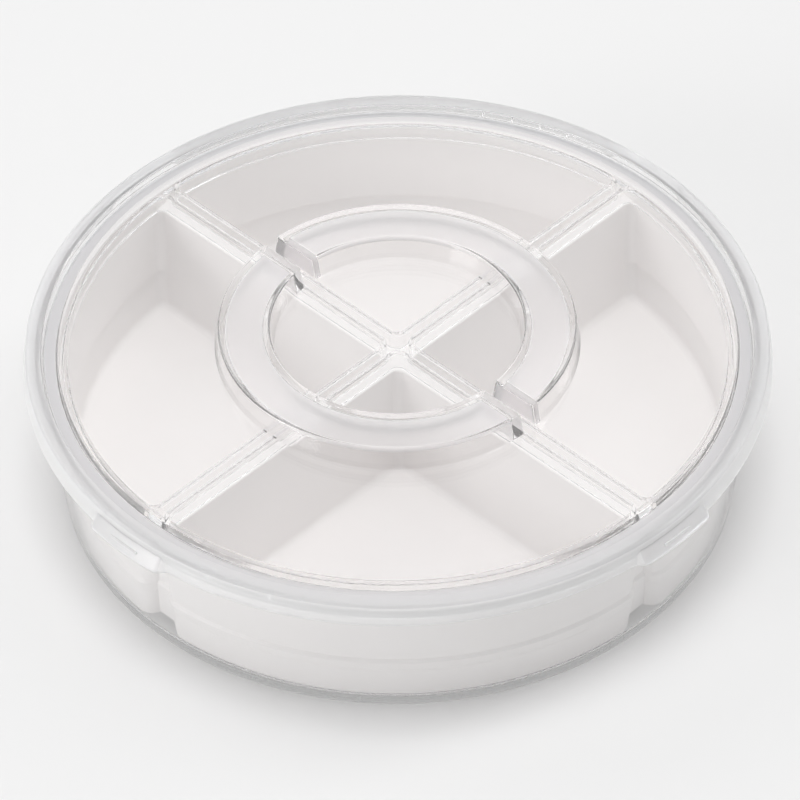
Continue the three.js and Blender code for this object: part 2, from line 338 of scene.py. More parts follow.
def new_object(name, vertices, faces):
    """A closed mesh object whose faces point outwards."""
    mesh = bpy.data.meshes.new(name)
    mesh.from_pydata(vertices, [], faces)
    shape = bmesh.new()
    shape.from_mesh(mesh)
    bmesh.ops.recalc_face_normals(shape, faces=shape.faces)
    shape.to_mesh(mesh)
    shape.free()
    made = bpy.data.objects.new(name, mesh)
    bpy.context.scene.collection.objects.link(made)
    return made


def lathe(name, outline):
    """Solid of revolution about Z. An outline that starts and ends on the axis is closed there
    by flat discs."""
    sides = ROUND_SIDES
    points = [point for point in outline if point[0] > 0]
    capped = len(points) < len(outline)
    vertices = []
    for radius, height in points:
        for side in range(sides):
            turn = 2 * math.pi * side / sides
            vertices.append((radius * math.cos(turn), radius * math.sin(turn), height))
    faces = []
    for ring in range(len(points) - 1 if capped else len(points)):
        low = ring * sides
        high = (ring + 1) % len(points) * sides
        for side in range(sides):
            following = (side + 1) % sides
            faces.append((low + side, low + following, high + following, high + side))
    if capped:
        faces.append(tuple(range(sides)))
        faces.append(tuple(range(len(vertices) - sides, len(vertices))))
    return new_object(name, vertices, faces)


def loft(name, rings):
    """Closed skin over rings of points, each ring as long as the next."""
    size = len(rings[0])
    vertices = [point for ring in rings for point in ring]
    faces = []
    for start in range(0, size * (len(rings) - 1), size):
        for side in range(size):
            here, following = start + side, start + (side + 1) % size
            faces.append((here, following, following + size, here + size))
    last = size * (len(rings) - 1)
    faces.append(tuple(range(size)))
    faces.append(tuple(range(last, last + size)))
    return new_object(name, vertices, faces)


def repeated(piece, turns):
    """The piece, its mesh repeated about Z at each of the turns."""
    shape = bmesh.new()
    for turn in turns:
        copy = piece.data.copy()
        copy.transform(Matrix.Rotation(turn, 4, "Z"))
        shape.from_mesh(copy)
        bpy.data.meshes.remove(copy)
    shape.to_mesh(piece.data)
    shape.free()
    return piece


def bake_modifiers(piece):
    """Keep the result of a piece's modifiers as its mesh."""
    graph = bpy.context.evaluated_depsgraph_get()
    mesh = bpy.data.meshes.new_from_object(piece.evaluated_get(graph))
    old = piece.data
    piece.modifiers.clear()
    piece.data = mesh
    bpy.data.meshes.remove(old)


def combine(body, tool, operation):
    """Join a tool to a body or cut it from the body, and discard it. Leaves no materials."""
    modifier = body.modifiers.new("combine", "BOOLEAN")
    modifier.object = tool
    modifier.operation = operation
    modifier.solver = "MANIFOLD"
    bake_modifiers(body)
    mesh = tool.data
    bpy.data.objects.remove(tool)
    bpy.data.meshes.remove(mesh)
    body.data.materials.clear()
    if not body.data.polygons:
        raise RuntimeError(f"{body.name} was lost in a boolean")


def finish_piece(piece, name, materials, node, body):
    """Name, shade and seat a piece in the frame."""
    piece.name = name
    piece.data.name = name
    for material in materials:
        piece.data.materials.append(material)
    piece.data.shade_smooth()
    piece.data.set_sharp_from_angle(angle=SHARP_ANGLE)
    weighted = piece.modifiers.new("weighted normals", "WEIGHTED_NORMAL")
    weighted.keep_sharp = True
    bake_modifiers(piece)
    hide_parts(node)
    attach(piece, body)


def arc(centre_x, centre_y, radius, start, end, steps):
    """Points along an arc, both ends included."""
    turns = [start + (end - start) * step / steps for step in range(steps + 1)]
    return [(centre_x + radius * math.cos(t), centre_y + radius * math.sin(t)) for t in turns]


def quarter_outline(side_distance, radius, corner):
    """Quarter pocket that opens towards +X, its sides at a distance from the diagonals."""
    side = DIAGONAL - math.asin((side_distance + corner) / (radius - corner))
    corner_x = (radius - corner) * math.cos(side)
    corner_y = (radius - corner) * math.sin(side)
    inner_x = (side_distance + corner) * math.sqrt(2)
    return [
        *arc(corner_x, -corner_y, corner, -3 * DIAGONAL, -side, CORNER_STEPS),
        *arc(0, 0, radius, -side, side, POCKET_OUTER_STEPS)[1:-1],
        *arc(corner_x, corner_y, corner, side, 3 * DIAGONAL, CORNER_STEPS),
        *arc(inner_x, 0, corner, 3 * DIAGONAL, 5 * DIAGONAL, CORNER_STEPS),
    ]


# Bowl


def bowl_levels(bowl):
    """Radii and heights of the bowl that its neighbours follow."""
    rim_inner = BOWL_LIP_RADIUS - bowl.lip_width - bowl.wall
    seat = BOWL_RIM - bowl.seat_depth
    seat_inner = rim_inner - bowl.seat_width
    foot_inner = bowl.foot_radius - bowl.wall
    return rim_inner, seat, seat_inner, foot_inner


def bowl_inner_at(bowl, height):
    """Inside of the bowl's leaning wall."""
    rim_inner, seat, seat_inner, foot_inner = bowl_levels(bowl)
    return foot_inner + (seat_inner - foot_inner) * height / seat


def make_bowl(bowl):
    """The bowl: flat base, leaning wall, seat for the tray and snap lip."""
    rim_inner, seat, seat_inner, foot_inner = bowl_levels(bowl)
    rim_outer = BOWL_LIP_RADIUS - bowl.lip_width
    shoulder = seat - bowl.wall
    shoulder_radius = bowl_inner_at(bowl, shoulder) + bowl.wall
    lip_bottom = BOWL_RIM - bowl.lip_height
    edge = bowl.edge_round
    return lathe("bowl", rounded([
        (0, 0, 0),
        (bowl.foot_radius, 0, bowl.foot_round),
        (shoulder_radius, shoulder, bowl.wall),
        (rim_outer, shoulder + rim_outer - shoulder_radius, bowl.wall),
        (rim_outer, lip_bottom, 0),
        (BOWL_LIP_RADIUS, lip_bottom + bowl.lip_width / 2, edge),
        (BOWL_LIP_RADIUS, BOWL_RIM, edge),
        (rim_inner, BOWL_RIM, edge),
        (rim_inner, seat, edge),
        (seat_inner, seat, edge),
        (bowl_inner_at(bowl, bowl.floor), bowl.floor, bowl.floor_round),
        (0, bowl.floor, 0),
    ]))


# Tray


def tray_outer_at(tray, bowl, height):
    """Outside of the tray's wall, set in above the ledge."""
    step = min(max((height - TRAY_LOW - tray.ledge_height) / tray.ledge_rise, 0), 1)
    return bowl_inner_at(bowl, height) - tray.wall_gap - tray.ledge_depth * step


def pocket_body(tray, bowl, floor, floor_round, top, inset, flare=0):
    """A pocket's drafted body with a rounded floor, drawn in by an inset. Without an inset it
    has the fine line. A flare rounds the edge that it cuts at the top."""
    divider_top = TRAY_TOP - tray.divider_drop

    def ring(height, drawn_in):
        face = tray.divider_width / 2 + (divider_top - height) * math.tan(tray.divider_draft)
        outline = quarter_outline(
            face - tray.wall + inset + drawn_in,
            tray_outer_at(tray, bowl, height) - inset - drawn_in,
            tray.corner + tray.wall - inset - drawn_in,
        )
        return [(x, y, height) for x, y in outline]

    rings = []
    for step in range(POCKET_FLOOR_STEPS + 1):
        turn = math.pi / 2 * step / POCKET_FLOOR_STEPS
        height = floor + floor_round * (1 - math.cos(turn))
        rings.append(ring(height, floor_round * (1 - math.sin(turn))))
    ledge = TRAY_LOW + tray.ledge_height
    line = ledge - tray.line_drop
    if not inset:
        rings.append(ring(line - tray.line_width, 0))
        rings.append(ring(line, tray.line_depth))
        rings.append(ring(line + tray.line_width, 0))
    rings += [ring(ledge, 0), ring(ledge + tray.ledge_rise, 0)]
    for step in range(POCKET_TOP_STEPS + 1 if flare else 0):
        turn = math.pi / 2 * step / POCKET_TOP_STEPS
        height = divider_top - flare * (1 - math.sin(turn))
        rings.append(ring(height, -flare * (1 - math.cos(turn))))
    rings.append(ring(top, -flare))
    return loft("pocket", rings)


def make_tray_band(tray, bowl, top):
    """Wall that joins the tubs in the valleys between them."""
    ledge = TRAY_LOW + tray.ledge_height
    levels = [TRAY_LOW + tray.valley_lift, ledge, ledge + tray.ledge_rise, top + tray.wall / 2]
    outside = [(tray_outer_at(tray, bowl, z) - tray.valley_depth, z, 0) for z in levels]
    inside = [(radius - tray.wall, z, 0) for radius, z, _ in reversed(outside)]
    return lathe("tray_band", rounded(outside + inside))


def make_tray(tray, bowl):
    """The tray: a disc with a rim flange, to which four tubs are joined, each then hollowed."""
    divider_top = TRAY_TOP - tray.divider_drop
    divider_underside = divider_top - tray.wall
    flange_underside = TRAY_TOP - tray.flange
    past_top = divider_top + tray.wall
    edge = tray.edge_round

    def rim_inner(height):
        return tray_outer_at(tray, bowl, height) - tray.wall + tray.rim_setback

    body = lathe("tray", rounded([
        (0, divider_underside, 0),
        (tray_outer_at(tray, bowl, divider_underside), divider_underside, 0),
        (tray_outer_at(tray, bowl, flange_underside), flange_underside, 0),
        (TRAY_FLANGE_RADIUS, flange_underside, edge),
        (TRAY_FLANGE_RADIUS, TRAY_TOP, edge),
        (rim_inner(TRAY_TOP), TRAY_TOP, edge),
        (rim_inner(divider_top), divider_top, 0),
        (0, divider_top, 0),
    ]))
    roof = divider_underside + tray.wall / 2
    floor = TRAY_LOW + tray.wall
    tub = pocket_body(tray, bowl, TRAY_LOW, tray.foot_round, roof, 0)
    hollow = pocket_body(tray, bowl, floor, tray.floor_round, past_top, tray.wall, edge)
    combine(body, make_tray_band(tray, bowl, divider_underside), "UNION")
    combine(body, repeated(tub, QUARTERS), "UNION")
    combine(body, repeated(hollow, QUARTERS), "DIFFERENCE")
    return body


# Lid


def lid_levels(lid, ring):
    """Heights and radii that the parts of the lid share."""
    top = LID_HIGH - ring.height + lid.panel_drop
    channel_outer = LID_RADIUS - lid.skirt_flare - lid.band_width
    return {
        "top": top,
        "skirt": top - lid.skirt_height,
        "panel": top - lid.panel_drop,
        "panel_underside": top - lid.panel_drop - lid.wall,
        "band_underside": top - lid.wall,
        "channel_underside": top - lid.channel_depth - lid.wall,
        "channel_outer": channel_outer,
        "channel_inner": channel_outer - lid.channel_width,
    }


def plug_radius(lid, tray, bowl):
    """Outside of the plug walls, which stand clear of the tray's rim."""
    divider_top = TRAY_TOP - tray.divider_drop
    return tray_outer_at(tray, bowl, divider_top) - tray.wall - lid.plug_clearance


def make_lid_shell(lid, levels, plug):
    """Panel, channel, rim band and skirt with its snap bead, as one turned body."""
    skirt_top = LID_RADIUS - lid.skirt_flare
    inner_top = skirt_top - lid.skirt_wall
    inner_bottom = LID_RADIUS - lid.skirt_wall
    bead_bottom = levels["skirt"] + lid.bead_lift
    bead_middle = bead_bottom + lid.bead_height / 2
    bead_top = bead_bottom + lid.bead_height
    root = plug - lid.plug_overlap
    edge = lid.edge_round
    outer = levels["channel_outer"]
    inner = levels["channel_inner"]
    channel_floor = levels["top"] - lid.channel_depth

    def skirt_inner(height):
        share = (height - levels["skirt"]) / (levels["band_underside"] - levels["skirt"])
        return inner_bottom + (inner_top - inner_bottom) * share

    return lathe("lid", rounded([
        (0, levels["panel_underside"], 0),
        (root, levels["panel_underside"], 0),
        (root, levels["channel_underside"], 0),
        (outer + lid.wall / 2, levels["channel_underside"], edge),
        (outer + lid.wall, levels["band_underside"], edge),
        (inner_top, levels["band_underside"], edge),
        (skirt_inner(bead_top), bead_top, edge),
        (skirt_inner(bead_middle) - lid.bead_depth, bead_middle, edge),
        (skirt_inner(bead_bottom), bead_bottom, edge),
        (inner_bottom, levels["skirt"], edge),
        (LID_RADIUS, levels["skirt"], edge),
        (skirt_top, levels["top"], lid.rim_round),
        (outer, levels["top"], edge),
        (outer - lid.channel_slope, channel_floor, edge),
        (inner, channel_floor, edge),
        (inner - lid.channel_slope, levels["panel"], edge),
        (0, levels["panel"], 0),
    ]))


def make_plug_wall(lid, levels, radius, divider_top):
    """Closed loop that hangs over a pocket's mouth, with a rounded lower edge."""
    bottom = divider_top + lid.plug_clearance
    top = levels["panel"] - lid.wall / 2
    edge, wall = lid.edge_round, lid.plug_wall

    def ring(height, inset):
        outline = quarter_outline(lid.plug_offset + inset, radius - inset, lid.plug_corner - inset)
        return [(x, y, height) for x, y in outline]

    turns = [math.pi / 2 * step / PLUG_EDGE_STEPS for step in range(PLUG_EDGE_STEPS + 1)]
    outer, inner = [], [ring(bottom - edge, wall - edge)]
    for turn in reversed(turns):
        height = bottom + edge * (1 - math.sin(turn))
        drawn_in = edge * (1 - math.cos(turn))
        outer.append(ring(height, drawn_in))
        inner.append(ring(height, wall - drawn_in))
    loop = loft("plug", outer + [ring(top, 0)])
    combine(loop, loft("plug_hollow", inner + [ring(top + edge, wall)]), "DIFFERENCE")
    return loop


def make_ring_bar(name, section_at, half_gap, end_round):
    """Bar along half a turn, with flat end faces beside the gaps and rounded end edges."""

    def ring(share, inset, gap):
        points = []
        for radius, height in section_at(inset):
            start = math.asin(gap / radius)
            turn = start + (math.pi - 2 * start) * share
            points.append((radius * math.cos(turn), radius * math.sin(turn), height))
        return points

    turns = [math.pi / 2 * step / RING_END_STEPS for step in range(RING_END_STEPS + 1)]
    ends = [
        (end_round * (1 - math.sin(t)), half_gap + end_round * (1 - math.cos(t))) for t in turns
    ]
    rings = [ring(0, inset, gap) for inset, gap in ends]
    for step in range(1, RING_LONG_STEPS):
        rings.append(ring(step / RING_LONG_STEPS, 0, half_gap + end_round))
    rings += [ring(1, inset, gap) for inset, gap in reversed(ends)]
    return loft(name, rings)


def make_ring_halves(lid, ring, levels):
    """The two solid halves and the hollows that are cut from them."""
    root = levels["panel"] - lid.wall / 2
    mouth = levels["panel_underside"] - lid.wall
    roof = LID_HIGH - ring.roof

    def lean(height):
        return ring.draft * (height - levels["panel"]) / ring.height

    def section(low, high, inset, edge):
        return rounded([
            (ring.inner_radius + inset + lean(low), low, 0),
            (ring.outer_radius - inset - lean(low), low, 0),
            (ring.outer_radius - inset - lean(high), high, edge),
            (ring.inner_radius + inset + lean(high), high, edge),
        ])

    def outside(inset):
        return section(root, LID_HIGH - inset, inset, ring.edge_round)

    def inside(inset):
        return section(mouth, roof - inset, ring.wall + inset, ring.hollow_round)

    bar = make_ring_bar("ring", outside, ring.gap / 2, ring.end_round)
    hollow = make_ring_bar("ring_hollow", inside, ring.gap / 2 + ring.end_wall, ring.hollow_round)
    return bar, hollow


def make_tab(lid, tab, levels):
    """Lifting tab that swells out of the skirt towards +X, and the hollow behind it."""
    least_round = 0.05
    top = levels["top"] - tab.top_drop
    bottom = levels["skirt"]
    skirt_top = LID_RADIUS - lid.skirt_flare
    inside = LID_RADIUS - lid.skirt_wall
    inside_top = skirt_top - lid.skirt_wall
    skin = tab.sink / 10
    swell, hollow = [], []
    for step in range(TAB_STEPS + 1):
        turn = tab.half_angle * (2 * step / TAB_STEPS - 1)
        near_end = min((tab.half_angle - abs(turn)) / tab.blend_angle, 1)
        fade = near_end ** 3 * (near_end * (6 * near_end - 15) + 10)  # an S from 0 to 1
        edge = tab.edge_round * max(fade, least_round)
        outside = rounded([
            (inside_top + tab.sink / 2, top - tab.sink, 0),
            (skirt_top - tab.sink, top, 0),
            (LID_RADIUS - tab.sink + (tab.reach + tab.sink) * fade, bottom, edge),
            (inside + tab.sink / 2, bottom, 0),
        ])
        swell.append([(r * math.cos(turn), r * math.sin(turn), z) for r, z in outside])
        behind = rounded([
            (inside - tab.sink, bottom - tab.sink, 0),
            (inside - skin + tab.reach * fade, bottom - tab.sink, 0),
            (inside_top - skin, top - lid.skirt_wall, tab.edge_round / 2),
            (inside_top - tab.sink, top - lid.skirt_wall, 0),
        ])
        hollow.append([(r * math.cos(turn), r * math.sin(turn), z) for r, z in behind])
    return loft("tab", swell), loft("tab_hollow", hollow)


def make_grip_bead(lid, tab, levels):
    """Short bead with round ends that lies across a tab's slope."""
    rise = levels["top"] - tab.top_drop - levels["skirt"]
    centre_x = LID_RADIUS + tab.reach - (tab.reach + lid.skirt_flare) * tab.grip_share
    centre_z = levels["skirt"] + rise * tab.grip_share
    half = tab.grip_width / 2
    straight = tab.grip_length / 2 - half
    turns = [math.pi / 2 * step / GRIP_END_STEPS for step in range(1, GRIP_END_STEPS + 1)]
    places = [(-straight - half * math.cos(t), half * math.sin(t)) for t in turns]
    places += [(straight + half * math.cos(t), half * math.sin(t)) for t in reversed(turns)]
    rings = []
    for along, radius in places:
        around = [2 * math.pi * side / GRIP_SIDES for side in range(GRIP_SIDES)]
        rings.append([
            (centre_x + radius * math.cos(t), along, centre_z + radius * math.sin(t))
            for t in around
        ])
    return loft("grip", rings)


def add_node(tree, kind, links=None, values=None, **settings):
    """Add a node with its settings, socket values and incoming links."""
    node = tree.nodes.new(kind)
    for name, value in settings.items():
        setattr(node, name, value)
    for name, value in (values or {}).items():
        node.inputs[name].default_value = value
    for name, source in (links or {}).items():
        tree.links.new(source, node.inputs[name])
    return node


def calculate(tree, operation, *sources):
    """Output of a Math node that works on the outputs of other nodes."""
    node = add_node(tree, "ShaderNodeMath", dict(enumerate(sources)), operation=operation)
    return node.outputs["Value"]


def stiffener_tree():
    """Bars in two opposite groups on a circle, each turned to point away from the centre."""
    tree = bpy.data.node_groups.new("Rim stiffeners", "GeometryNodeTree")
    kinds = {
        "Geometry": "Geometry", "Count": "Int", "Radius": "Float", "Height": "Float",
        "Bar size": "Vector", "Direction": "Float", "Spread": "Float", "Material": "Material",
    }
    for name, kind in kinds.items():
        tree.interface.new_socket(name, in_out="INPUT", socket_type=f"NodeSocket{kind}")
    tree.interface.new_socket("Geometry", in_out="OUTPUT", socket_type="NodeSocketGeometry")
    inputs = add_node(tree, "NodeGroupInput").outputs
    circle = add_node(
        tree, "GeometryNodeMeshCircle", {"Vertices": inputs["Count"], "Radius": inputs["Radius"]}
    )
    lift = add_node(tree, "ShaderNodeCombineXYZ", {"Z": inputs["Height"]})
    raised = add_node(
        tree, "GeometryNodeTransform",
        {"Geometry": circle.outputs["Mesh"], "Translation": lift.outputs["Vector"]},
    )
    place = add_node(tree, "GeometryNodeInputPosition")
    parts = add_node(tree, "ShaderNodeSeparateXYZ", {"Vector": place.outputs["Position"]})
    turn = calculate(tree, "ARCTAN2", parts.outputs["Y"], parts.outputs["X"])
    rotation = add_node(tree, "ShaderNodeCombineXYZ", {"Z": turn})
    off_axis = calculate(tree, "SUBTRACT", turn, inputs["Direction"])
    # The sine's size is the same half a turn on, which gives the opposite group
    off_size = calculate(tree, "ABSOLUTE", calculate(tree, "SINE", off_axis))
    limit = calculate(tree, "SINE", inputs["Spread"])
    in_group = calculate(tree, "LESS_THAN", off_size, limit)
    bar = add_node(tree, "GeometryNodeMeshCube", {"Size": inputs["Bar size"]})
    placed = add_node(tree, "GeometryNodeInstanceOnPoints", {
        "Points": raised.outputs["Geometry"],
        "Selection": in_group,
        "Instance": bar.outputs["Mesh"],
        "Rotation": rotation.outputs["Vector"],
    })
    real = add_node(
        tree, "GeometryNodeRealizeInstances", {"Geometry": placed.outputs["Instances"]}
    )
    finished = add_node(
        tree, "GeometryNodeSetMaterial",
        {"Geometry": real.outputs["Geometry"], "Material": inputs["Material"]},
    )
    add_node(tree, "NodeGroupOutput", {"Geometry": finished.outputs["Geometry"]})
    return tree


def make_stiffeners(lid, levels, material):
    """The small radial bars under the rim band, as one mesh."""
    inner = levels["channel_outer"] + lid.wall / 2
    outer = LID_RADIUS - lid.skirt_flare - lid.skirt_wall / 2
    bottom = levels["band_underside"] - lid.rib_depth
    top = levels["band_underside"] + lid.wall / 2
    sizes = {
        "Count": lid.rib_count,
        "Radius": (inner + outer) / 2,
        "Height": (bottom + top) / 2,
        "Bar size": (outer - inner, lid.rib_width, top - bottom),
        "Direction": lid.rib_direction,
        "Spread": lid.rib_spread,
        "Material": material,
    }
    bars = bpy.data.objects.new("stiffeners", bpy.data.meshes.new("stiffeners"))
    bpy.context.scene.collection.objects.link(bars)
    modifier = bars.modifiers.new("stiffeners", "NODES")
    modifier.node_group = stiffener_tree()
    sockets = {
        item.name: item.identifier
        for item in modifier.node_group.interface.items_tree
        if item.in_out == "INPUT"
    }
    for name, value in sizes.items():
        modifier[sockets[name]] = value
    bake_modifiers(bars)
    return bars


# Materials


def new_material(name):
    material = bpy.data.materials.new(name)
    material.use_nodes = True
    material.node_tree.nodes.clear()
    return material, material.node_tree


def let_light_through(tree, shader, tint):
    """Lamps and bounced light pass a clear wall straight, so that what it covers is lit. Seen
    through or mirrored, the wall keeps its shader."""
    ray = add_node(tree, "ShaderNodeLightPath").outputs
    passes = calculate(tree, "MAXIMUM", ray["Is Shadow Ray"], ray["Is Diffuse Ray"])
    straight = add_node(tree, "ShaderNodeBsdfTransparent", values={"Color": tint})
    mixed = add_node(tree, "ShaderNodeMixShader", {
        0: passes, 1: shader.outputs["BSDF"], 2: straight.outputs["BSDF"],
    })
    add_node(tree, "ShaderNodeOutputMaterial", {"Surface": mixed.outputs["Shader"]})


def clear_plastic(name, face_tint, polish, clarity):
    """Injection-moulded clear polystyrene: bright edges, a slight milkiness, faint waves from
    the moulding that break up reflections. A rougher polish makes it satin: it blurs what is
    seen through it and spreads the highlights, as on the rim and the skirt."""
    material, tree = new_material(name)
    tint = (*face_tint, 1)
    place = add_node(tree, "ShaderNodeTexCoord").outputs["Object"]
    wave_length, wave_depth = 18 * MM, 0.004 * MM
    waves = add_node(
        tree, "ShaderNodeTexNoise", {"Vector": place},
        {"Scale": 1 / wave_length, "Detail": 2.0, "Roughness": 0.4},
    )
    bump = add_node(
        tree, "ShaderNodeBump", {"Height": waves.outputs["Fac"]},
        {"Strength": 0.4, "Distance": wave_depth},
    )
    roughness = add_node(
        tree, "ShaderNodeMapRange", {"Value": waves.outputs["Fac"]},
        {"To Min": polish[0], "To Max": polish[1]},
    )
    shader = add_node(tree, "ShaderNodeBsdfPrincipled", {
        "Normal": bump.outputs["Normal"], "Roughness": roughness.outputs["Result"],
    }, {"Base Color": tint, "Transmission Weight": clarity, "IOR": POLYSTYRENE_IOR})
    let_light_through(tree, shader, tint)
    return material


def frosted_plastic(name, colours):
    """The same polystyrene with a matt, spark-eroded texture: it glows whitish and hides what
    is behind it."""
    material, tree = new_material(name)
    tint = (*colours.frost, 1)
    place = add_node(tree, "ShaderNodeTexCoord").outputs["Object"]
    grain_size, grain_depth = 0.5 * MM, 0.01 * MM
    grain = add_node(
        tree, "ShaderNodeTexNoise", {"Vector": place},
        {"Scale": 1 / grain_size, "Detail": 3.0, "Roughness": 0.6},
    )
    bump = add_node(
        tree, "ShaderNodeBump", {"Height": grain.outputs["Fac"]},
        {"Strength": 0.6, "Distance": grain_depth},
    )
    shader = add_node(tree, "ShaderNodeBsdfPrincipled", {"Normal": bump.outputs["Normal"]}, {
        "Base Color": tint, "IOR": POLYSTYRENE_IOR, **FROSTED,
    })
    let_light_through(tree, shader, tint)
    return material


def white_plastic(name, colours):
    """Moulded white polypropylene: satin, with soft-edged highlights, a very fine grain and
    slight flow marks in its shade and gloss."""
    material, tree = new_material(name)
    place = add_node(tree, "ShaderNodeTexCoord").outputs["Object"]
    grain_size, grain_depth = 0.6 * MM, 0.008 * MM
    flow_size = 35 * MM
    grain = add_node(
        tree, "ShaderNodeTexNoise", {"Vector": place},
        {"Scale": 1 / grain_size, "Detail": 3.0, "Roughness": 0.6},
    )
    flow = add_node(
        tree, "ShaderNodeTexNoise", {"Vector": place},
        {"Scale": 1 / flow_size, "Detail": 3.0, "Distortion": 0.6},
    )
    flow_shade = 0.965
    base = (*colours.tray, 1)
    shaded = tuple(channel * flow_shade for channel in colours.tray) + (1,)
    first_colour, second_colour, mixed_colour = 6, 7, 2  # the Mix node's colour sockets
    shade = add_node(
        tree, "ShaderNodeMix", {"Factor": flow.outputs["Fac"]},
        {first_colour: shaded, second_colour: base}, data_type="RGBA",
    )
    roughness = add_node(
        tree, "ShaderNodeMapRange", {"Value": flow.outputs["Fac"]},
        {"To Min": 0.32, "To Max": 0.42},
    )
    bump = add_node(
        tree, "ShaderNodeBump", {"Height": grain.outputs["Fac"]},
        {"Strength": 0.3, "Distance": grain_depth},
    )
    shader = add_node(tree, "ShaderNodeBsdfPrincipled", {
        "Base Color": shade.outputs[mixed_colour],
        "Roughness": roughness.outputs["Result"],
        "Normal": bump.outputs["Normal"],
    }, {"IOR": POLYPROPYLENE_IOR})
    add_node(tree, "ShaderNodeOutputMaterial", {"Surface": shader.outputs["BSDF"]})
    return material


def table_surface(colours):
    """Matt pale table top: soft shadows and no mirror image of the container."""
    material, tree = new_material("matt_table")
    shader = add_node(tree, "ShaderNodeBsdfPrincipled", values={
        "Base Color": (*colours.table, 1), "Roughness": 0.9, "Specular IOR Level": 0.2,
    })
    add_node(tree, "ShaderNodeOutputMaterial", {"Surface": shader.outputs["BSDF"]})
    return material


def paint_matt_and_shaded_faces(piece, lid, ring, levels):
    """Give the roof and ends of the ring's hollow, the rim's band and the skirt their frosted and
    satin materials, and the channel a darker satin whose tint is painted shade."""
    middle_of_band = levels["channel_outer"] + lid.band_width / 2
    low = levels["panel_underside"] + lid.wall / 4
    high = LID_HIGH - ring.roof / 2
    inner = ring.inner_radius + ring.wall / 2
    outer = ring.outer_radius - ring.wall / 2
    for face in piece.data.polygons:
        radius = face.center.to_2d().length
        outward = face.center.to_2d().dot(face.normal.to_2d())
        in_hollow = inner < radius < outer and low < face.center.z < high
        roof_or_end = face.normal.z < -FACING or abs(outward) < FACING * radius
        if in_hollow and roof_or_end:
            face.material_index = LID_FROSTED
        if radius > levels["channel_inner"] and face.normal.z > FACING:
            # Channel faces get the darker satin, which is painted shade in the recess
            in_shaded_channel = radius < levels["channel_outer"]
            face.material_index = LID_SHADED_CHANNEL if in_shaded_channel else LID_BAND
        elif radius > middle_of_band and face.normal.z > -FACING:
            face.material_index = LID_SKIRT


# Operators


class ContainerOperator:
    """What the container's operators share"""

    bl_options = {"REGISTER", "UNDO"}


class CONTAINER_OT_bowl(ContainerOperator, bpy.types.Operator):
    """Make the clear outer bowl"""

    bl_idname = "container.bowl"
    bl_label = "Bowl"

    def execute(self, context):
        scene = context.scene
        piece = make_bowl(scene.container_bowl)
        tint = scene.container_finish.clear_tint
        material = clear_plastic("clear_polystyrene_bowl", tint, **CLEAR)
        finish_piece(piece, "clear_bowl", [material], "outer_bowl", "bowl_body")
        return {"FINISHED"}


class CONTAINER_OT_tray(ContainerOperator, bpy.types.Operator):
    """Make the white tray with its four pockets"""

    bl_idname = "container.tray"
    bl_label = "Tray"

    def execute(self, context):
        scene = context.scene
        piece = make_tray(scene.container_tray, scene.container_bowl)
        material = white_plastic("white_polypropylene", scene.container_finish)
        finish_piece(
            piece, "white_tray", [material], "compartment_tray", "tray_body"
        )
        return {"FINISHED"}


class CONTAINER_OT_lid(ContainerOperator, bpy.types.Operator):
    """Make the clear lid with its ring, plug walls, stiffeners and tabs"""

    bl_idname = "container.lid"
    bl_label = "Lid"

    def execute(self, context):
        scene = context.scene
        lid, ring, tab = scene.container_lid, scene.container_ring, scene.container_tab
        tray, bowl = scene.container_tray, scene.container_bowl
        finish = scene.container_finish
        clear = clear_plastic("clear_polystyrene_lid", finish.clear_tint, **CLEAR)
        band = clear_plastic("satin_polystyrene_band", finish.band_tint, **SATIN_BAND)
        skirt = clear_plastic("satin_polystyrene_skirt", finish.skirt_tint, **SATIN_SKIRT)
        # The band's satin with a darker tint: painted shade in the rim's channel
        channel = clear_plastic("satin_polystyrene_channel", finish.channel_shade_tint, **SATIN_BAND)
        frosted = frosted_plastic("frosted_polystyrene", finish)
        levels = lid_levels(lid, ring)
        plug = plug_radius(lid, tray, bowl)
        body = make_lid_shell(lid, levels, plug)
        bar, hollow = make_ring_halves(lid, ring, levels)
        halves = (-DIAGONAL, -DIAGONAL + math.pi)
        combine(body, repeated(bar, halves), "UNION")
        combine(body, repeated(hollow, halves), "DIFFERENCE")
        wall = make_plug_wall(lid, levels, plug, TRAY_TOP - tray.divider_drop)
        lift, lift_hollow = make_tab(lid, tab, levels)
        grip = make_grip_bead(lid, tab, levels)
        corners = [turn + DIAGONAL for turn in QUARTERS]  # above the ends of the dividers
        combine(body, repeated(wall, QUARTERS), "UNION")
        combine(body, repeated(lift, corners), "UNION")
        combine(body, repeated(lift_hollow, corners), "DIFFERENCE")
        combine(body, repeated(grip, corners), "UNION")
        combine(body, make_stiffeners(lid, levels, clear), "UNION")
        paint_matt_and_shaded_faces(body, lid, ring, levels)
        materials = [clear, frosted, band, skirt, channel]
        finish_piece(body, "clear_lid", materials, "lid", "lid_body")
        return {"FINISHED"}


class CONTAINER_OT_stage(ContainerOperator, bpy.types.Operator):
    """Make the table, the lamps, the sky and the camera"""

    bl_idname = "container.stage"
    bl_label = "Stage"

    def execute(self, context):
        scene = context.scene
        make_table(scene.container_finish)
        make_sky(scene, scene.container_stage, scene.container_finish)
        make_lamps(scene, scene.container_stage)
        make_camera(scene, scene.container_stage)
        scene.view_settings.view_transform = "Standard"
        scene.cycles.max_bounces = LIGHT_BOUNCES
        scene.cycles.transmission_bounces = LIGHT_BOUNCES
        scene.cycles.transparent_max_bounces = LIGHT_BOUNCES
        return {"FINISHED"}


# Stage


def make_table(colours):
    """A table top wide enough to fill the picture from a low camera."""
    reach = TABLE_REACH
    corners = [(-reach, -reach, 0), (reach, -reach, 0), (reach, reach, 0), (-reach, reach, 0)]
    table = new_object("table", corners, [range(len(corners))])
    table.data.materials.append(table_surface(colours))


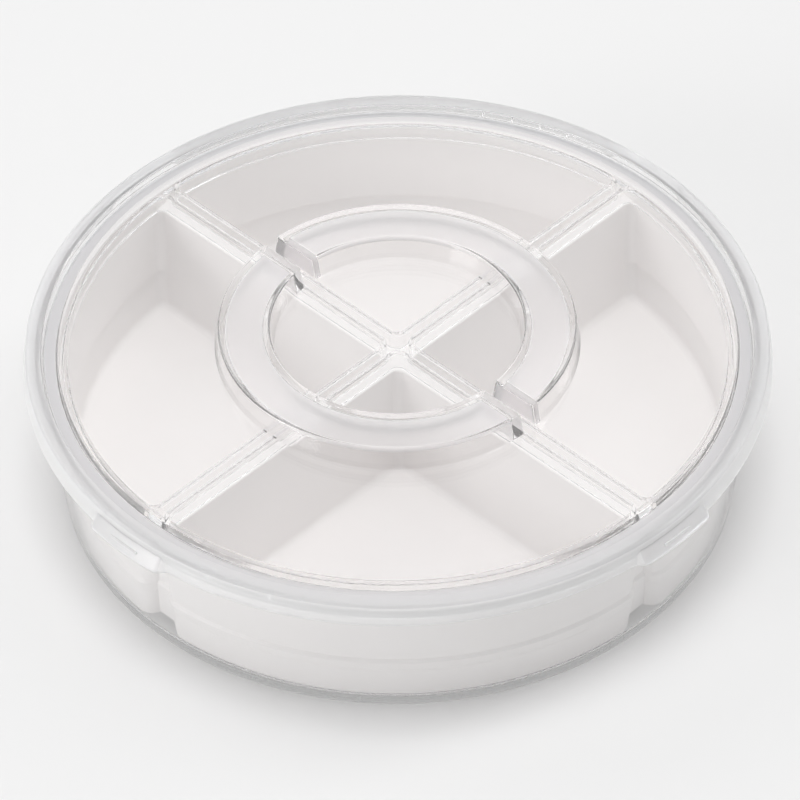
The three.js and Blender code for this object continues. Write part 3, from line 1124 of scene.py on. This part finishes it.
def make_sky(scene, stage, colours):
    """Even studio light, seen as a pale wall by the camera, in gloss and through plastic."""
    scene.world = bpy.data.worlds.new("studio")
    scene.world.use_nodes = True
    tree = scene.world.node_tree
    tree.nodes.clear()
    ray = add_node(tree, "ShaderNodeLightPath").outputs
    direct = calculate(tree, "MAXIMUM", ray["Is Camera Ray"], ray["Is Glossy Ray"])
    seen = calculate(tree, "MAXIMUM", direct, ray["Is Transmission Ray"])
    light = add_node(
        tree, "ShaderNodeBackground",
        values={"Color": (1, 1, 1, 1), "Strength": stage.even_light},
    )
    wall = add_node(
        tree, "ShaderNodeBackground", values={"Color": (*colours.wall, 1), "Strength": 1.0}
    )
    mixed = add_node(tree, "ShaderNodeMixShader", {
        0: seen, 1: light.outputs["Background"], 2: wall.outputs["Background"],
    })
    add_node(tree, "ShaderNodeOutputWorld", {"Surface": mixed.outputs["Shader"]})


def make_lamp(scene, name, place, size, power):
    """A softbox that faces the origin."""
    data = bpy.data.lights.new(name, "AREA")
    data.shape = "RECTANGLE"
    data.size, data.size_y = size
    data.energy = power
    lamp = bpy.data.objects.new(name, data)
    lamp.location = place
    to_origin = Vector((0, 0, 0)) - Vector(place)
    lamp.rotation_euler = to_origin.to_track_quat("-Z", "Y").to_euler()
    scene.collection.objects.link(lamp)
    return lamp


def make_lamps(scene, stage):
    """All softboxes. The overhead one isn't mirrored, because the lid's flat panel would show
    it as a white disc when seen from above."""
    lamps = {}
    for name, (place, size) in SOFTBOXES.items():
        power = getattr(stage, f"{name}_power")
        lamps[name] = make_lamp(scene, f"{name}_softbox", place, size, power)
    lamps["top"].visible_glossy = lamps["top"].visible_transmission = False


def make_camera(scene, stage):
    """Camera at the photographed angle, aimed near the middle of the container. The turn's
    columns are its right, up and backward directions."""
    data = bpy.data.cameras.new("camera")
    data.lens = stage.lens
    data.sensor_width = SENSOR_WIDTH
    camera = bpy.data.objects.new("camera", data)
    backward = Vector((0, -math.cos(stage.elevation), math.sin(stage.elevation)))
    level_right = Vector((1, 0, 0))
    level_up = backward.cross(level_right)
    right = level_right * math.cos(stage.roll) + level_up * math.sin(stage.roll)
    up = backward.cross(right)
    place = Vector((stage.aim_side, 0, stage.aim_height)) + backward * stage.distance
    turn = Matrix((right, up, backward)).transposed().to_4x4()
    camera.matrix_world = Matrix.Translation(place) @ turn
    scene.collection.objects.link(camera)
    scene.camera = camera


class CONTAINER_PT_panel(bpy.types.Panel):
    """Sizes, colours and the steps that make the container"""

    bl_label = "Food Container"
    bl_space_type = "VIEW_3D"
    bl_region_type = "UI"
    bl_category = "Container"

    def draw(self, context):
        layout = self.layout
        for name, group in GROUPS.items():
            settings = getattr(context.scene, name)
            layout.label(text=group.__doc__)
            for setting in group.__annotations__:
                layout.prop(settings, setting)
        for operator in OPERATORS:
            layout.operator(operator.bl_idname)


OPERATORS = (CONTAINER_OT_bowl, CONTAINER_OT_tray, CONTAINER_OT_lid, CONTAINER_OT_stage)


def register():
    for registered in (*GROUPS.values(), *OPERATORS, CONTAINER_PT_panel):
        bpy.utils.register_class(registered)
    for name, group in GROUPS.items():
        setattr(bpy.types.Scene, name, bpy.props.PointerProperty(type=group))


def unregister():
    for name in GROUPS:
        delattr(bpy.types.Scene, name)
    for registered in (CONTAINER_PT_panel, *reversed(OPERATORS), *reversed(GROUPS.values())):
        bpy.utils.unregister_class(registered)


def main():
    """Make the stage and the three pieces."""
    register()
    bpy.ops.container.stage()
    bpy.ops.container.bowl()
    bpy.ops.container.tray()
    bpy.ops.container.lid()


if __name__ == "__main__":
    main()
